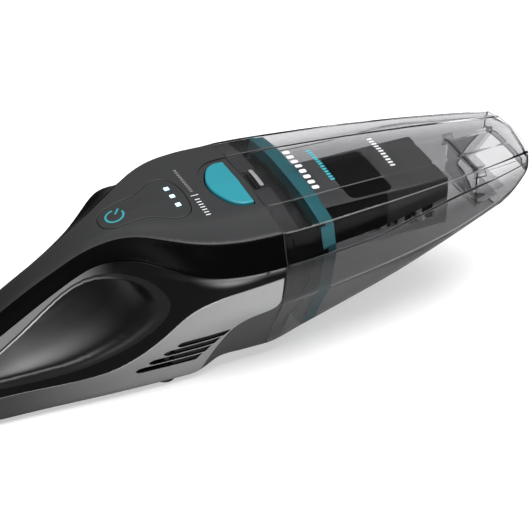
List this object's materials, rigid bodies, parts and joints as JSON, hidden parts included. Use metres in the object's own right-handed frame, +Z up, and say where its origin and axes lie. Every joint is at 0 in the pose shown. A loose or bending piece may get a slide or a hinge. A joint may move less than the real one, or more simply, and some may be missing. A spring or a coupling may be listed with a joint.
{
  "type": "handheld vacuum cleaner",
  "caption": "Cordless handheld vacuum with a closed loop handle, a clear slide-off dust container with a slanted nozzle, a press key and a release button.",
  "frame": {"origin": "under the middle of the overall length, on the plane the base pads stand on", "axes": "+X towards the nozzle, +Y to the cleaner's left, +Z up"},
  "size_m": [0.418, 0.1274, 0.1224],
  "materials": {
    "cover_grey": "satin metallic dark grey",
    "key_black": "glossy",
    "symbol_teal": "glossy, lit",
    "light_lens": "lit lens",
    "band_black": "glossy",
    "panel_silver": "satin metallic",
    "housing_black": "glossy",
    "lower_grey": "satin",
    "pad_rubber": "matt",
    "screw_steel": "zinc plated",
    "inner_black": "matt",
    "seal_rubber": "matt",
    "motor_steel": "plated",
    "magnet_grey": "ferrite",
    "mount_rubber": "matt",
    "cell_wrap": "shrink sleeve",
    "tab_nickel": "nickel",
    "lead_red": "cable skin",
    "lead_black": "cable skin",
    "board_green": "solder mask",
    "switch_black": "moulded",
    "plunger_white": "moulded",
    "jack_black": "moulded",
    "foam_grey": "open-cell foam",
    "pin_steel": "ground",
    "spring_steel": "drawn wire",
    "impeller_white": "moulded",
    "armature_copper": "wound",
    "button_teal": "satin",
    "latch_black": "moulded",
    "container_clear": "smoke-tinted clear plastic",
    "duct_clear": "smoke-tinted clear plastic",
    "flap_rubber": "matt",
    "ring_teal": "satin",
    "collar_black": "satin",
    "cage_black": "satin",
    "filter_paper": "pleated paper"
  },
  "bodies": {
    "housing": {"top_cover": "cover_grey", "side_band_left": "band_black", "side_band_right": "band_black", "side_panel_left": "panel_silver", "side_panel_right": "panel_silver", "housing_left": "housing_black", "housing_right": "housing_black", "lower_cover": "lower_grey", "base_pads": "pad_rubber", "housing_screws": "screw_steel", "bulkhead": "inner_black", "container_seal": "seal_rubber", "fan_cover": "inner_black", "intake_grille": "inner_black", "diffuser": "inner_black", "motor_can": "motor_steel", "motor_magnets": "magnet_grey", "motor_end_cap": "inner_black", "motor_mounts": "mount_rubber", "motor_cradle": "inner_black", "battery_cells": "cell_wrap", "battery_holder": "inner_black", "battery_tabs": "tab_nickel", "battery_leads": "lead_red", "motor_leads": "lead_black", "control_board": "board_green", "board_posts": "inner_black", "board_screws": "screw_steel", "power_switch": "switch_black", "charging_jack": "jack_black", "exhaust_foam": "foam_grey", "latch_pin": "pin_steel", "latch_bracket": "inner_black", "button_spring": "spring_steel"},
    "rotor": {"impeller": "impeller_white", "motor_shaft": "pin_steel", "armature": "armature_copper"},
    "key": {"control_key": "key_black", "power_symbol": "symbol_teal", "charge_lights": "light_lens"},
    "plunger": {"switch_plunger": "plunger_white"},
    "button": {"release_button": "button_teal"},
    "latch": {"latch_lever": "latch_black"},
    "container": {"dust_container": "container_clear", "inlet_duct": "duct_clear", "flap_pin": "pin_steel"},
    "flap": {"inlet_flap": "flap_rubber"},
    "filter": {"filter_ring": "ring_teal", "filter_collar": "collar_black", "filter_seal": "seal_rubber", "filter_cage": "cage_black", "pleated_filter": "filter_paper"}
  },
  "joints": [
    {"name": "rotor_spin", "type": "hinge", "parent": "housing", "child": "rotor", "pos_m": [-0.03, 0, 0.06], "axis": [1, 0, 0], "continuous": true},
    {"name": "key_press", "type": "hinge", "parent": "housing", "child": "key", "pos_m": [-0.0224, 0, 0.119], "axis": [0, -1, 0], "range_deg": [0, 1], "stiffness_Nm_per_rad": 8},
    {"name": "plunger_press", "type": "slide", "parent": "housing", "child": "plunger", "axis": [0, 0, -1], "range_m": [0, 0.00085]},
    {"name": "button_press", "type": "slide", "parent": "housing", "child": "button", "axis": [0, 0, -1], "range_m": [0, 0.0025], "stiffness_N_per_m": 1600, "deforming": ["button_spring"]},
    {"name": "latch_swing", "type": "hinge", "parent": "housing", "child": "latch", "pos_m": [-0.013, 0, 0.1065], "axis": [0, 1, 0], "range_deg": [0, 8.6]},
    {"name": "container_slide", "type": "slide", "parent": "housing", "child": "container", "axis": [1, 0, 0], "range_m": [0, 0.28]},
    {"name": "filter_slide", "type": "slide", "parent": "housing", "child": "filter", "axis": [1, 0, 0], "range_m": [0, 0.14]},
    {"name": "flap_swing", "type": "hinge", "parent": "container", "child": "flap", "pos_m": [0.173, 0, 0.0986], "axis": [0, 1, 0], "range_deg": [0, 45]}
  ],
  "couplings": [
    {"joint": "plunger_press", "follows": "key_press", "m_per_rad": 0.0456},
    {"joint": "latch_swing", "follows": "button_press", "rad_per_m": 58.8},
    {"joint": "filter_slide", "follows": "container_slide", "ratio": 0.5}
  ]
}
